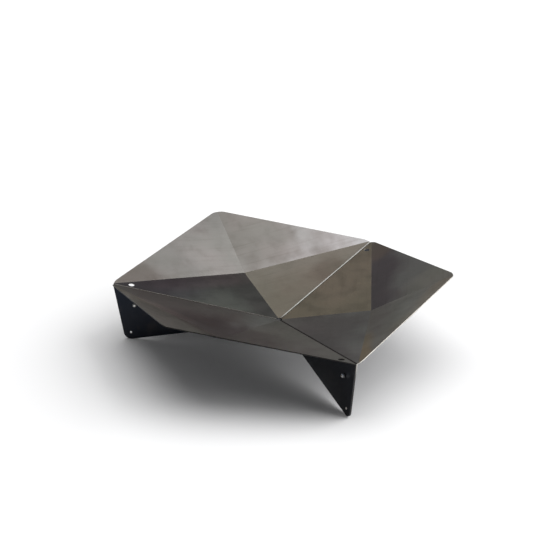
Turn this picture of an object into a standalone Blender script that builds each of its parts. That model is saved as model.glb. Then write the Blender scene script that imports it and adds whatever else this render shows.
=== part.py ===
"""A fire bowl made of three folded steel sheets that are bolted back to back.

Seen from above the rim is a hexagon. Three of its corners are low and stand on legs, and the three
between them are raised. Each sheet is a third of the bowl: it runs from the centre to two leg corners
and the raised corner between them, and its two inner edges are bent down into leg plates. The plates
of neighbouring sheets lie back to back, and two bolts hold each pair together.

Lengths are metres and +Z is up. The origin is on the bowl's axis, on the ground that it stands on.
A sheet is drawn with its raised corner over +X, and then turned to its place.
"""

import math

import bmesh
import bpy
from mathutils import Matrix, Vector
from mathutils.geometry import tessellate_polygon

# The bowl's corners, by their distance from the axis and their height above the ground
LEG_CORNER_RADIUS = 0.460
LEG_CORNER_HEIGHT = 0.1627
RAISED_CORNER_RADIUS = 0.462
RAISED_CORNER_HEIGHT = 0.2376
FOLD_POINT_RADIUS = 0.246
FOLD_POINT_HEIGHT = 0.1208
CENTRE_HEIGHT = 0.0803

# The sheet, its bends and its roundings
SHEET_THICKNESS = 0.002
BEND_INSIDE_RADIUS = 0.001
RAISED_CORNER_ROUNDING = 0.042
LEG_CORNER_ROUNDING = 0.040
CENTRE_OPENING_RADIUS = 0.008

# The leg plate. An inset is measured in from the leg corner, and a drop down from the seam
LEG_EDGE_TOP_INSET = 0.0064
LEG_ROOT_DROP = 0.006
FOOT_INSET = 0.050
FOOT_ROUNDING = 0.020
FOOT_FLAT = 0.0035
FOOT_HOLE_DIAMETER = 0.007

# The round hole beside one leg corner of each sheet
SIDE_HOLE_DIAMETER = 0.016
SIDE_HOLE_INSET = 0.053
SIDE_HOLE_OFF_SEAM = 0.017

# The bolts, and where they sit on the leg plates
OUTER_BOLT_INSET = 0.064
OUTER_BOLT_DROP = 0.0477
INNER_BOLT_RADIUS = 0.090
INNER_BOLT_DROP = 0.0204
BOLT_DIAMETER = 0.006
BOLT_LENGTH = 0.016
BOLT_TIP_CHAMFER = 0.0006
BOLT_HOLE_DIAMETER = 0.007
HEX_ACROSS_FLATS = 0.010
HEAD_HEIGHT = 0.004
NUT_HEIGHT = 0.005
WASHER_DIAMETER = 0.012
WASHER_BORE = 0.0066
WASHER_THICKNESS = 0.0016

# The gap that pieces keep where they touch
GAP = 0.0003

# A hexagon's end face is a circle this wide as a share of the flats, and slopes off around it
HEX_FACE_SHARE = 0.95
HEX_CHAMFER_SLOPE = math.tan(math.radians(30))

# How finely round stretches are drawn, and which edges stay sharp
CORNER_STEPS = 8
BEND_STEPS = 5
HOLE_STEPS = 24
FASTENER_STEPS = 24
SHARP_ANGLE = math.radians(30)
MERGE_DISTANCE = 0.000001

STEEL_COLOUR = (0.105, 0.098, 0.092)
STEEL_ROUGHNESS = 0.42
ZINC_COLOUR = (0.56, 0.58, 0.61)
ZINC_ROUGHNESS = 0.32

# Six corners share the turn, so a leg corner lies this far from a raised one
SECTOR = math.radians(60)
DOWN = -math.pi / 2
SHEETS = {"right_sheet": 0, "rear_left_sheet": 120, "front_left_sheet": 240}
LEGS = {"rear_leg": 60, "left_leg": 180, "front_leg": 300}


def metal(name, colour, roughness):
    material = bpy.data.materials.new(name)
    material.use_nodes = True
    shader = material.node_tree.nodes["Principled BSDF"]
    shader.inputs["Base Color"].default_value = (*colour, 1)
    shader.inputs["Metallic"].default_value = 1
    shader.inputs["Roughness"].default_value = roughness
    material.diffuse_color = (*colour, 1)
    return material


def arc(centre, radius, start, end, steps):
    """Points along a flat arc, both ends included."""
    angles = [start + (end - start) * step / steps for step in range(steps + 1)]
    return [centre + radius * Vector((math.cos(a), math.sin(a))) for a in angles]


def circle(centre, diameter):
    return arc(centre, diameter / 2, 0, math.tau, HOLE_STEPS)[:-1]


def angle_of(vector):
    return math.atan2(vector.y, vector.x)


def meeting(p, along_p, q, along_q):
    """Where the line through p meets the line through q, in the flat."""
    square = Vector((-along_q.y, along_q.x))
    return p + along_p * ((q - p).dot(square) / along_p.dot(square))


def touch(centre, radius, outside, turn):
    """Where a line from a point outside a circle touches it. Turn is 1 or -1 for either side."""
    away = outside - centre
    swing = Matrix.Rotation(turn * math.acos(radius / away.length), 2)
    return centre + swing @ away.normalized() * radius


def bolt_places():
    """Where the two bolts of a leg sit: the distance from the axis, and the height."""
    outer_radius = LEG_CORNER_RADIUS - OUTER_BOLT_INSET
    return {
        "outer": Vector((outer_radius, seam_height(outer_radius) - OUTER_BOLT_DROP)),
        "inner": Vector((INNER_BOLT_RADIUS, seam_height(INNER_BOLT_RADIUS) - INNER_BOLT_DROP)),
    }


def seam_height(radius):
    rise = (LEG_CORNER_HEIGHT - CENTRE_HEIGHT) / LEG_CORNER_RADIUS
    return CENTRE_HEIGHT + rise * radius


def square_to(edge, towards):
    """The unit vector square to a unit edge, in the plane of the edge and another vector."""
    return (towards - edge * towards.dot(edge)).normalized()


class LegCorner:
    """The half of a sheet at its leg corner on +60 degrees, and the leg plate below it.

    Flat points lie on the unfolded sheet. From the corner their x runs inward along the seam, and
    their y runs away from the seam into the bowl, so that a point on the leg has a negative y.
    """

    def __init__(self):
        self.out = Vector((math.cos(SECTOR), math.sin(SECTOR), 0))
        self.side = Vector((math.sin(SECTOR), -math.cos(SECTOR), 0))
        self.corner = self.out * LEG_CORNER_RADIUS + Vector((0, 0, LEG_CORNER_HEIGHT))
        self.raised = Vector((RAISED_CORNER_RADIUS, 0, RAISED_CORNER_HEIGHT))
        self.fold = Vector((FOLD_POINT_RADIUS, 0, FOLD_POINT_HEIGHT))
        to_centre = Vector((0, 0, CENTRE_HEIGHT)) - self.corner
        to_fold = self.fold - self.corner
        to_raised = self.raised - self.corner

        # Along the seam, into the bowl beside it, and up the leg
        self.seam = to_centre.normalized()
        self.into_bowl = square_to(self.seam, to_fold)
        self.up_leg = square_to(self.seam, Vector((0, 0, 1)))
        self.below = self.seam.cross(self.into_bowl)
        if self.below.z > 0:
            self.below.negate()

        # Along the crease to the fold point, and across it towards the raised corner
        self.crease = to_fold.normalized()
        self.past_crease = square_to(self.crease, to_raised)
        self.crease_angle = self.seam.angle(to_fold)
        self.rim_angle = self.crease_angle + to_fold.angle(to_raised)

        # The bend from the bowl to the leg. The leg's outer face is half a gap off the seam's plane
        self.bend_radius = BEND_INSIDE_RADIUS + SHEET_THICKNESS
        self.bend_angle = math.atan2(
            self.side.dot(self.into_bowl), self.side.dot(self.below)
        )
        setback = self.bend_radius * math.tan(self.bend_angle / 2)
        self.seam_y = GAP / 2 / self.into_bowl.dot(self.side)
        self.bowl_y = self.seam_y + setback
        self.leg_y = self.seam_y - setback
        self.seam_start = self.corner + self.into_bowl * self.seam_y
        self.set_outline()

    def set_outline(self):
        """The leg plate's outline, and the rounding that carries it over the bend to the rim."""
        half_flat = math.asin(FOOT_FLAT / 2 / FOOT_ROUNDING)
        foot_height = FOOT_ROUNDING * math.cos(half_flat)
        self.foot = Vector((LEG_CORNER_RADIUS - FOOT_INSET, foot_height))
        top = Vector((LEG_CORNER_RADIUS - LEG_EDGE_TOP_INSET, LEG_CORNER_HEIGHT))
        root = Vector((0, CENTRE_HEIGHT - LEG_ROOT_DROP))
        toe = angle_of(touch(self.foot, FOOT_ROUNDING, top, -1) - self.foot)
        heel = angle_of(touch(self.foot, FOOT_ROUNDING, root, 1) - self.foot)
        sole = arc(self.foot, FOOT_ROUNDING, toe, DOWN + half_flat, CORNER_STEPS)
        sole += arc(self.foot, FOOT_ROUNDING, DOWN - half_flat, heel, 1)
        inner_radius = math.sqrt(CENTRE_OPENING_RADIUS**2 - (GAP / 2) ** 2)
        slope = (root.y - sole[-1].y) / (sole[-1].x - root.x)
        inner_end = Vector((inner_radius, root.y - slope * inner_radius))
        self.leg_outline = [self.flat_of_leg(p) for p in [*sole, inner_end]]

        self.edge_up = (self.flat_of_leg(top) - self.leg_outline[0]).normalized()
        self.rim = Vector((math.cos(self.rim_angle), math.sin(self.rim_angle)))
        vertex = meeting(self.leg_outline[0], self.edge_up, Vector((0, 0)), self.rim)
        half = self.rim.angle(-self.edge_up) / 2
        middle = (self.rim - self.edge_up).normalized()
        self.round_centre = vertex + middle * LEG_CORNER_ROUNDING / math.sin(half)
        reach = LEG_CORNER_ROUNDING / math.tan(half)
        self.on_edge = vertex - self.edge_up * reach
        self.on_rim = vertex + self.rim * reach

    def flat_of_leg(self, place):
        """The flat point of a place on the leg, given by distance from the axis and height."""
        off = self.out * place.x + Vector((0, 0, place.y)) - self.seam_start
        return Vector((off.dot(self.seam), off.dot(self.up_leg) + self.seam_y))

    def on_leg(self, flat):
        start = self.seam_start + self.seam * flat.x
        return start + self.up_leg * (flat.y - self.seam_y)

    def on_bowl(self, flat):
        """A flat point in its place on the bowl, on either side of the crease."""
        past = angle_of(flat) - self.crease_angle
        if past <= 0:
            return self.corner + self.seam * flat.x + self.into_bowl * flat.y
        along = self.crease * flat.length * math.cos(past)
        return self.corner + along + self.past_crease * flat.length * math.sin(past)

    def on_bend(self, x, share):
        """A point on the bend's outer face, from the bowl (share 0) to the leg (share 1)."""
        start = self.corner + self.seam * x + self.into_bowl * self.bowl_y
        turn = share * self.bend_angle
        spoke = self.below * math.cos(turn) + self.into_bowl * math.sin(turn)
        return start + (self.below - spoke) * self.bend_radius

    def outline_x(self, y):
        """Where the outer outline crosses a line along the seam, at any height of the flat sheet."""
        if y <= self.on_edge.y:
            return self.on_edge.x + self.edge_up.x / self.edge_up.y * (y - self.on_edge.y)
        if y >= self.on_rim.y:
            return self.on_rim.x + self.rim.x / self.rim.y * (y - self.on_rim.y)
        off = y - self.round_centre.y
        return self.round_centre.x - math.sqrt(LEG_CORNER_ROUNDING**2 - off**2)

    def opening_x(self, start):
        """How far along the seam from a start the centre opening's edge lies."""
        radius = math.sqrt(CENTRE_OPENING_RADIUS**2 - start.dot(self.side) ** 2)
        return (start.dot(self.out) - radius) / -self.seam.dot(self.out)

    def rounding(self, start, end, steps):
        """Points of the corner's rounding between two of its points, both included."""
        first, last = angle_of(start - self.round_centre), angle_of(end - self.round_centre)
        first, last = first % math.tau, last % math.tau
        return arc(self.round_centre, LEG_CORNER_ROUNDING, first, last, steps)

    def leg_face(self):
        """The leg plate's face towards its neighbour, with its three holes."""
        y = self.leg_y
        outer = Vector((self.outline_x(y), y))
        edge = [outer]
        if y > self.on_edge.y:
            edge = self.rounding(outer, self.on_edge, BEND_STEPS)
        inner = Vector((self.opening_x(self.on_leg(Vector((0, y)))), y))
        places = bolt_places().values()
        holes = [circle(self.flat_of_leg(place), BOLT_HOLE_DIAMETER) for place in places]
        holes.append(circle(self.flat_of_leg(self.foot), FOOT_HOLE_DIAMETER))
        loops = [[inner, *edge, *self.leg_outline], *holes]
        return [[self.on_leg(flat) for flat in loop] for loop in loops]

    def bend_faces(self):
        """The strips of the bend, from the centre opening to the rounded corner."""
        rows = []
        for step in range(BEND_STEPS + 1):
            share = step / BEND_STEPS
            x = self.outline_x(self.bowl_y + share * (self.leg_y - self.bowl_y))
            inner_x = self.opening_x(self.on_bend(0, share))
            rows.append((self.on_bend(x, share), self.on_bend(inner_x, share)))
        return [[[a, b, d, c]] for (a, b), (c, d) in zip(rows, rows[1:])]

    def inner_face(self, with_hole):
        """The facet between the seam, the crease and the fold point."""
        corner = Vector((self.outline_x(self.bowl_y), self.bowl_y))
        inner = Vector((self.opening_x(self.on_bend(0, 0)), self.bowl_y))
        edge = self.rounding(corner, self.crease_end(), BEND_STEPS)
        inner_place = self.on_bowl(inner)
        opening = []
        for step in range(BEND_STEPS):
            turn = angle_of(inner_place) * step / BEND_STEPS
            out = Vector((math.cos(turn), math.sin(turn), 0)) * CENTRE_OPENING_RADIUS
            opening.append(self.lift(out))
        loops = [[self.fold, *opening, inner_place] + [self.on_bowl(flat) for flat in edge]]
        if with_hole:
            x = SIDE_HOLE_INSET / -self.seam.dot(self.out)
            hole = circle(Vector((x, SIDE_HOLE_OFF_SEAM)), SIDE_HOLE_DIAMETER)
            loops.append([self.on_bowl(flat) for flat in hole])
        return loops

    def lift(self, place):
        """A place in plan, raised to the facet beside the seam."""
        normal = self.below
        off = (self.corner - place).dot(normal) / normal.z
        return place + Vector((0, 0, off))

    def crease_end(self):
        """Where the crease runs out into the corner's rounding, as a flat point."""
        ray = Vector((math.cos(self.crease_angle), math.sin(self.crease_angle)))
        nearest = ray.dot(self.round_centre)
        off = nearest**2 - self.round_centre.length_squared + LEG_CORNER_ROUNDING**2
        return ray * (nearest - math.sqrt(off))

    def rim_face(self):
        """The facet between the crease, the rim and the raised corner."""
        edge = self.rounding(self.crease_end(), self.on_rim, BEND_STEPS)
        inward = (self.fold - self.raised).normalized()
        across = square_to(inward, self.corner - self.raised)
        half = inward.angle(self.corner - self.raised)
        centre = self.raised + inward * RAISED_CORNER_ROUNDING / math.sin(half)
        tip = []
        for step in range(CORNER_STEPS + 1):
            turn = (math.pi / 2 - half) * (1 - step / CORNER_STEPS)
            spoke = across * math.sin(turn) - inward * math.cos(turn)
            tip.append(centre + spoke * RAISED_CORNER_ROUNDING)
        return [[self.fold] + [self.on_bowl(flat) for flat in edge] + tip]


def sheet_mesh():
    """The upper and outer faces of one sheet. Its thickness is added below and inside them."""
    corner = LegCorner()
    mesh = bmesh.new()
    for mirror in (1, -1):
        faces = [corner.leg_face(), corner.rim_face(), *corner.bend_faces()]
        faces.append(corner.inner_face(with_hole=mirror == 1))
        for loops in faces:
            places = [Vector((p.x, p.y * mirror, p.z)) for loop in loops for p in loop]
            verts = [mesh.verts.new(place) for place in places]
            for triangle in tessellate_polygon(loops):
                mesh.faces.new([verts[index] for index in triangle])
    bmesh.ops.remove_doubles(mesh, verts=mesh.verts, dist=MERGE_DISTANCE)
    bmesh.ops.recalc_face_normals(mesh, faces=mesh.faces)
    if sum(face.normal.z * face.calc_area() for face in mesh.faces) < 0:
        bmesh.ops.reverse_faces(mesh, faces=mesh.faces)
    return finished(mesh, "sheet")


def finished(mesh, name):
    data = bpy.data.meshes.new(name)
    mesh.to_mesh(data)
    mesh.free()
    return data


def turned_mesh(name, rings, is_loop):
    """A solid of stacked rings around Z. A ring's radius is a number, or a function of the angle."""
    mesh = bmesh.new()
    rows = []
    for radius, height in rings:
        row = []
        for step in range(FASTENER_STEPS):
            turn = math.tau * step / FASTENER_STEPS
            out = radius(turn) if callable(radius) else radius
            rise = height(out) if callable(height) else height
            row.append(mesh.verts.new((out * math.cos(turn), out * math.sin(turn), rise)))
        rows.append(row)
    pairs = list(zip(rows, rows[1:]))
    if is_loop:
        pairs.append((rows[-1], rows[0]))
    else:
        mesh.faces.new(rows[0])
        mesh.faces.new(rows[-1])
    for low, high in pairs:
        for a, b, c, d in zip(low, low[1:] + low[:1], high[1:] + high[:1], high):
            mesh.faces.new((a, b, c, d))
    bmesh.ops.recalc_face_normals(mesh, faces=mesh.faces)
    data = finished(mesh, name)
    data.shade_smooth()
    data.set_sharp_from_angle(angle=SHARP_ANGLE)
    return data


def hex_radius(turn):
    """The distance from a hexagon's middle to its edge."""
    from_flat = (turn + SECTOR / 2) % SECTOR - SECTOR / 2
    return HEX_ACROSS_FLATS / 2 / math.cos(from_flat)


def hex_shoulder(height, direction):
    """The height at which a hexagon's side meets the slope around its end face."""
    face = HEX_ACROSS_FLATS / 2 * HEX_FACE_SHARE
    return lambda out: height - direction * (out - face) * HEX_CHAMFER_SLOPE


def bolt_mesh():
    """A hexagon bolt. Z points out of its head, from the underside of the head."""
    shank = BOLT_DIAMETER / 2
    tip = shank - BOLT_TIP_CHAMFER
    rings = [
        (tip, -BOLT_LENGTH),
        (shank, -BOLT_LENGTH + BOLT_TIP_CHAMFER),
        (shank, 0),
        (hex_radius, 0),
        (hex_radius, hex_shoulder(HEAD_HEIGHT, 1)),
        (HEX_ACROSS_FLATS / 2 * HEX_FACE_SHARE, HEAD_HEIGHT),
    ]
    return turned_mesh("bolt", rings, is_loop=False)


def nut_mesh():
    """A hexagon nut that starts at Z 0 and hangs below it."""
    bore = BOLT_DIAMETER / 2 + GAP
    face = HEX_ACROSS_FLATS / 2 * HEX_FACE_SHARE
    rings = [
        (bore, -NUT_HEIGHT),
        (face, -NUT_HEIGHT),
        (hex_radius, hex_shoulder(-NUT_HEIGHT, -1)),
        (hex_radius, hex_shoulder(0, 1)),
        (face, 0),
        (bore, 0),
    ]
    return turned_mesh("nut", rings, is_loop=True)


def washer_mesh():
    """A plain washer that starts at Z 0 and hangs below it."""
    inside, outside = WASHER_BORE / 2, WASHER_DIAMETER / 2
    rings = [
        (inside, -WASHER_THICKNESS),
        (outside, -WASHER_THICKNESS),
        (outside, 0),
        (inside, 0),
    ]
    return turned_mesh("washer", rings, is_loop=True)


def add_object(name, data, parent, location=(0, 0, 0), rotation=(0, 0, 0)):
    obj = bpy.data.objects.new(name, data)
    obj.parent = parent
    obj.location = location
    obj.rotation_euler = rotation
    bpy.context.scene.collection.objects.link(obj)
    return obj


def add_empty(name, turn):
    empty = bpy.data.objects.new(name, None)
    empty.rotation_euler.z = math.radians(turn)
    bpy.context.scene.collection.objects.link(empty)
    return empty


def add_sheets():
    data = sheet_mesh()
    data.materials.append(metal("bare_steel", STEEL_COLOUR, STEEL_ROUGHNESS))
    for name, turn in SHEETS.items():
        sheet = add_object(name, data, add_empty(name + "_place", turn))
        thickness = sheet.modifiers.new("thickness", "SOLIDIFY")
        thickness.thickness = SHEET_THICKNESS
        thickness.offset = -1
        thickness.use_even_offset = True


def add_bolts():
    """Two bolts to a leg, each with its nut and two washers. X runs outward along the leg."""
    bolt, nut, washer = bolt_mesh(), nut_mesh(), washer_mesh()
    for data in (bolt, nut, washer):
        data.materials.append(metal("zinc_plated_" + data.name, ZINC_COLOUR, ZINC_ROUGHNESS))
    plates = GAP / 2 + SHEET_THICKNESS
    clamp = plates + GAP + WASHER_THICKNESS + GAP
    pieces = {
        "bolt": (bolt, clamp),
        "head_washer": (washer, clamp - GAP),
        "nut_washer": (washer, -plates - GAP),
        "nut": (nut, -clamp),
    }
    for leg, turn in LEGS.items():
        parent = add_empty(leg + "_place", turn)
        for seat, (radius, height) in bolt_places().items():
            for piece, (data, off) in pieces.items():
                name = f"{leg}_{seat}_{piece}"
                location = (radius, off, height)
                add_object(name, data, parent, location, (-math.pi / 2, 0, 0))


for leftover in list(bpy.data.objects):
    bpy.data.objects.remove(leftover)
add_sheets()
add_bolts()
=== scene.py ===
# %% [markdown]
# # A fire bowl of folded steel sheets
# Three equal sheets of bare steel make this bowl. Each one is folded into four facets, and its two
# inner edges are bent down into leg plates, which are bolted back to back with those of the next
# sheets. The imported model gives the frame: where each sheet and bolt is, with plain faces. This
# script dresses it with finer sheets, real fasteners and worked metal finishes.

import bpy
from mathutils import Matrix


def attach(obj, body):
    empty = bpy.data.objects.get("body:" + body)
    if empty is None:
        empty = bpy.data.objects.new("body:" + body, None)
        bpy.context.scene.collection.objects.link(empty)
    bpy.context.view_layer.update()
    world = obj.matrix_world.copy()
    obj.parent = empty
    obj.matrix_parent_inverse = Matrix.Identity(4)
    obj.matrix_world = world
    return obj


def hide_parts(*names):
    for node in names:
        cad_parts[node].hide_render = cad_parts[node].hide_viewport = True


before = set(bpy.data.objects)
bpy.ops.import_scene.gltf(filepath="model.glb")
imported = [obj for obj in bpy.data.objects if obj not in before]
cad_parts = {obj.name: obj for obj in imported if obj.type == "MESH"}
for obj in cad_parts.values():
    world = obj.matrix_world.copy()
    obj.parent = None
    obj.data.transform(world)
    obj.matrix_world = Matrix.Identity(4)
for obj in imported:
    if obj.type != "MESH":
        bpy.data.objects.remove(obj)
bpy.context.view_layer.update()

# %% Blender's own modules
import math

import bmesh
import bpy
from mathutils import Matrix, Vector

# %% [markdown]
# ## The photograph's angle
# A camera is placed by where it stands and where it looks. These two were found by fitting the
# bowl's corners, so the lens and the slope follow from them. Nothing is turned by hand: the camera's
# back points away from what it looks at, and its sides stay level.

# %% Camera
CAMERA_PLACE = Vector((0.32313, -3.01387, 1.51402))
CAMERA_AZIMUTH = math.radians(6.77)
CAMERA_ELEVATION = math.radians(22.87)
IMAGE_SIDE = 533
FOCAL_PIXELS = 1241.8
SENSOR_WIDTH = 36

camera_data = bpy.data.cameras.new("camera")
camera_data.sensor_width = SENSOR_WIDTH
camera_data.lens = FOCAL_PIXELS / IMAGE_SIDE * SENSOR_WIDTH
camera = bpy.data.objects.new("camera", camera_data)
camera.location = CAMERA_PLACE
camera.rotation_euler = (math.pi / 2 - CAMERA_ELEVATION, 0, CAMERA_AZIMUTH)
bpy.context.scene.collection.objects.link(camera)
bpy.context.scene.camera = camera
print("lens:", round(camera_data.lens, 2), "mm")

# %% [markdown]
# ## Floor and light
# The photograph is a product shot: a white floor, one wide soft light overhead, which makes the two
# rear facets shine and leaves the rest dark, and a weaker one from the right, which reaches under
# the bowl. Each is a sun lamp with a very wide disc: it lights the whole floor evenly, where an
# area lamp would fade towards the horizon. The world adds plain light from all sides.

# %% Lamps
WORLD_SHARE = 0.24
LAMPS = {
    "overhead_softbox": {"azimuth": 100, "elevation": 80, "width": 60, "share": 0.48},
    "side_softbox": {"azimuth": 5, "elevation": 38, "width": 60, "share": 0.43},
}
# A share is the part of the floor's light that a lamp gives. With the world's they come to 1.15.
for name, lamp in LAMPS.items():
    elevation = math.radians(lamp["elevation"])
    softbox_data = bpy.data.lights.new(name, "SUN")
    softbox_data.energy = lamp["share"] * math.pi / math.sin(elevation)
    softbox_data.angle = math.radians(lamp["width"])
    softbox = bpy.data.objects.new(name, softbox_data)
    softbox.rotation_euler = (0, math.pi / 2 - elevation, math.radians(lamp["azimuth"]))
    bpy.context.scene.collection.objects.link(softbox)
    print(name, round(softbox_data.energy, 2), "W/m2")

# %% The world
world = bpy.data.worlds.new("studio")
world.use_nodes = True
world.node_tree.nodes["Background"].inputs["Color"].default_value = (1, 1, 1, 1)
world.node_tree.nodes["Background"].inputs["Strength"].default_value = WORLD_SHARE
bpy.context.scene.world = world
bpy.context.scene.view_settings.view_transform = "Standard"

# %% Floor
FLOOR_SIZE = 120.0
FLOOR_COLOUR = (0.95, 0.95, 0.955)


def add_piece(name, mesh):
    piece = bpy.data.objects.new(name, mesh)
    bpy.context.scene.collection.objects.link(piece)
    return piece


def mesh_from(grid, name):
    """The bmesh as a mesh of that name. The bmesh is freed."""
    mesh = bpy.data.meshes.new(name)
    grid.to_mesh(mesh)
    grid.free()
    return mesh


floor_grid = bmesh.new()
bmesh.ops.create_grid(floor_grid, x_segments=4, y_segments=4, size=FLOOR_SIZE / 2)
floor = add_piece("studio_floor", mesh_from(floor_grid, "studio_floor"))
floor_finish = bpy.data.materials.new("studio_floor_white")
floor_finish.use_nodes = True
floor_shader = floor_finish.node_tree.nodes["Principled BSDF"]
floor_shader.inputs["Base Color"].default_value = (*FLOOR_COLOUR, 1)
floor_shader.inputs["Roughness"].default_value = 1
floor_shader.inputs["Specular IOR Level"].default_value = 0
floor.data.materials.append(floor_finish)
print("floor:", FLOOR_SIZE, "m wide")

# %% [markdown]
# ## The sheet's corners
# All three sheets are alike, so one is drawn, with its raised corner over +X, and turned to its
# place. It mirrors into itself, so only the half beside the leg corner at +60 degrees is worked
# out. The corners are the driving sizes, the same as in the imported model, which they have to fill.

# %% The corners and directions of half a sheet
LEG_CORNER_RADIUS = 0.460
LEG_CORNER_HEIGHT = 0.1627
RAISED_CORNER_RADIUS = 0.462
RAISED_CORNER_HEIGHT = 0.2376
FOLD_POINT_RADIUS = 0.246
FOLD_POINT_HEIGHT = 0.1208
CENTRE_HEIGHT = 0.0803
SECTOR = math.radians(60)
UP = Vector((0, 0, 1))


def square_to(edge, towards):
    """The unit vector square to a unit edge, in the plane of the edge and another vector."""
    return (towards - edge * towards.dot(edge)).normalized()


outward = Vector((math.cos(SECTOR), math.sin(SECTOR), 0))
leg_side = Vector((math.sin(SECTOR), -math.cos(SECTOR), 0))
leg_corner = outward * LEG_CORNER_RADIUS + UP * LEG_CORNER_HEIGHT
raised_corner = Vector((RAISED_CORNER_RADIUS, 0, RAISED_CORNER_HEIGHT))
fold_point = Vector((FOLD_POINT_RADIUS, 0, FOLD_POINT_HEIGHT))
seam = (UP * CENTRE_HEIGHT - leg_corner).normalized()
into_bowl = square_to(seam, fold_point - leg_corner)
up_leg = square_to(seam, UP)
below = into_bowl.cross(seam)
crease = (fold_point - leg_corner).normalized()
past_crease = square_to(crease, raised_corner - leg_corner)
crease_angle = seam.angle(crease)
rim_angle = crease_angle + crease.angle(raised_corner - leg_corner)
print("seam to crease:", round(math.degrees(crease_angle), 1), "degrees; below:", below)

# %% [markdown]
# ## The bend into the leg
# The bowl and the leg plate are one sheet, bent on a press. Two sheets meet there back to back, and
# their rounded bends leave the fine groove that shows along each seam. The bend could be left to a
# Bevel modifier, but its radius and its place decide the gap between two sheets, so its arc is
# worked out: a bend's setback is its outside radius times the tangent of half its angle.

# %% The bend
SHEET_THICKNESS = 0.002
BEND_INSIDE_RADIUS = 0.001
GAP = 0.0003
BEND_STEPS = 12

bend_radius = BEND_INSIDE_RADIUS + SHEET_THICKNESS
bend_angle = math.atan2(leg_side.dot(into_bowl), leg_side.dot(below))
setback = bend_radius * math.tan(bend_angle / 2)
seam_y = GAP / 2 / into_bowl.dot(leg_side)
bowl_y, leg_y = seam_y + setback, seam_y - setback
seam_start = leg_corner + into_bowl * seam_y


def on_bend(x, share):
    """A point on the bend's outer face, from the bowl (share 0) to the leg (share 1)."""
    start = leg_corner + seam * x + into_bowl * bowl_y
    spoke = below * math.cos(share * bend_angle) + into_bowl * math.sin(share * bend_angle)
    return start + (below - spoke) * bend_radius


print("bend:", round(math.degrees(bend_angle), 1), "degrees, setback", round(setback * 1000, 2), "mm")

# %% [markdown]
# ## The outline, drawn flat
# A sheet is cut out before it is bent, so its outline is drawn on the flat blank: x runs inward
# along the seam from the leg corner, and y away from the seam into the bowl, negative on the leg.
# The corner's large rounding crosses the crease and the bend in one arc, which is easy to draw flat
# and hard to draw in space. Two small functions then fold any flat point into its place.

# %% From the flat blank to the folded sheet
def angle_of(vector):
    return math.atan2(vector.y, vector.x)


def flat_of_leg(place):
    """The flat point of a place on the leg, given by distance from the axis and height."""
    off = outward * place.x + UP * place.y - seam_start
    return Vector((off.dot(seam), off.dot(up_leg) + seam_y))


def on_leg(flat):
    return seam_start + seam * flat.x + up_leg * (flat.y - seam_y)


def on_bowl(flat):
    """A flat point in its place on the bowl, on either side of the crease."""
    past = angle_of(flat) - crease_angle
    if past <= 0:
        return leg_corner + seam * flat.x + into_bowl * flat.y
    along = crease * flat.length * math.cos(past)
    return leg_corner + along + past_crease * flat.length * math.sin(past)


# %% The leg plate's outline
LEG_EDGE_TOP_INSET = 0.0064
LEG_ROOT_DROP = 0.006
FOOT_INSET = 0.050
FOOT_ROUNDING = 0.020
FOOT_FLAT = 0.0035
CENTRE_OPENING_RADIUS = 0.008
FOOT_STEPS = 24
DOWN = -math.pi / 2


def arc(centre, radius, start, end, steps):
    """Points along a flat arc, both ends included."""
    angles = [start + (end - start) * step / steps for step in range(steps + 1)]
    return [centre + radius * Vector((math.cos(a), math.sin(a))) for a in angles]


def touch(centre, radius, outside, turn):
    """Where a line from a point outside a circle touches it. Turn is 1 or -1 for either side."""
    away = outside - centre
    swing = Matrix.Rotation(turn * math.acos(radius / away.length), 2)
    return centre + swing @ away.normalized() * radius


half_flat = math.asin(FOOT_FLAT / 2 / FOOT_ROUNDING)
foot = Vector((LEG_CORNER_RADIUS - FOOT_INSET, FOOT_ROUNDING * math.cos(half_flat)))
edge_top = Vector((LEG_CORNER_RADIUS - LEG_EDGE_TOP_INSET, LEG_CORNER_HEIGHT))
root = Vector((0, CENTRE_HEIGHT - LEG_ROOT_DROP))
toe = angle_of(touch(foot, FOOT_ROUNDING, edge_top, -1) - foot)
heel = angle_of(touch(foot, FOOT_ROUNDING, root, 1) - foot)
sole = arc(foot, FOOT_ROUNDING, toe, DOWN + half_flat, FOOT_STEPS)
sole += arc(foot, FOOT_ROUNDING, DOWN - half_flat, heel, 2)
inner_radius = math.sqrt(CENTRE_OPENING_RADIUS**2 - (GAP / 2) ** 2)
inner_end = sole[-1].lerp(root, (sole[-1].x - inner_radius) / (sole[-1].x - root.x))
leg_outline = [flat_of_leg(place) for place in [*sole, inner_end]]
print("leg outline:", len(leg_outline), "points; foot at", [round(v, 3) for v in foot])

# %% The leg corner's rounding
# The model's coarser arc lies just inside a true one. A radius a little larger stays within it.
LEG_CORNER_ROUNDING = 0.0412
ROUNDING_STEPS = 16


def meeting(p, along_p, q, along_q):
    """Where the line through p meets the line through q, in the flat."""
    square = Vector((-along_q.y, along_q.x))
    return p + along_p * ((q - p).dot(square) / along_p.dot(square))


edge_up = (flat_of_leg(edge_top) - leg_outline[0]).normalized()
rim_way = Vector((math.cos(rim_angle), math.sin(rim_angle)))
vertex = meeting(leg_outline[0], edge_up, Vector((0, 0)), rim_way)
half_corner = rim_way.angle(-edge_up) / 2
to_middle = (rim_way - edge_up).normalized()
round_centre = vertex + to_middle * LEG_CORNER_ROUNDING / math.sin(half_corner)
on_edge = vertex - edge_up * LEG_CORNER_ROUNDING / math.tan(half_corner)
on_rim = vertex + rim_way * LEG_CORNER_ROUNDING / math.tan(half_corner)


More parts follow.
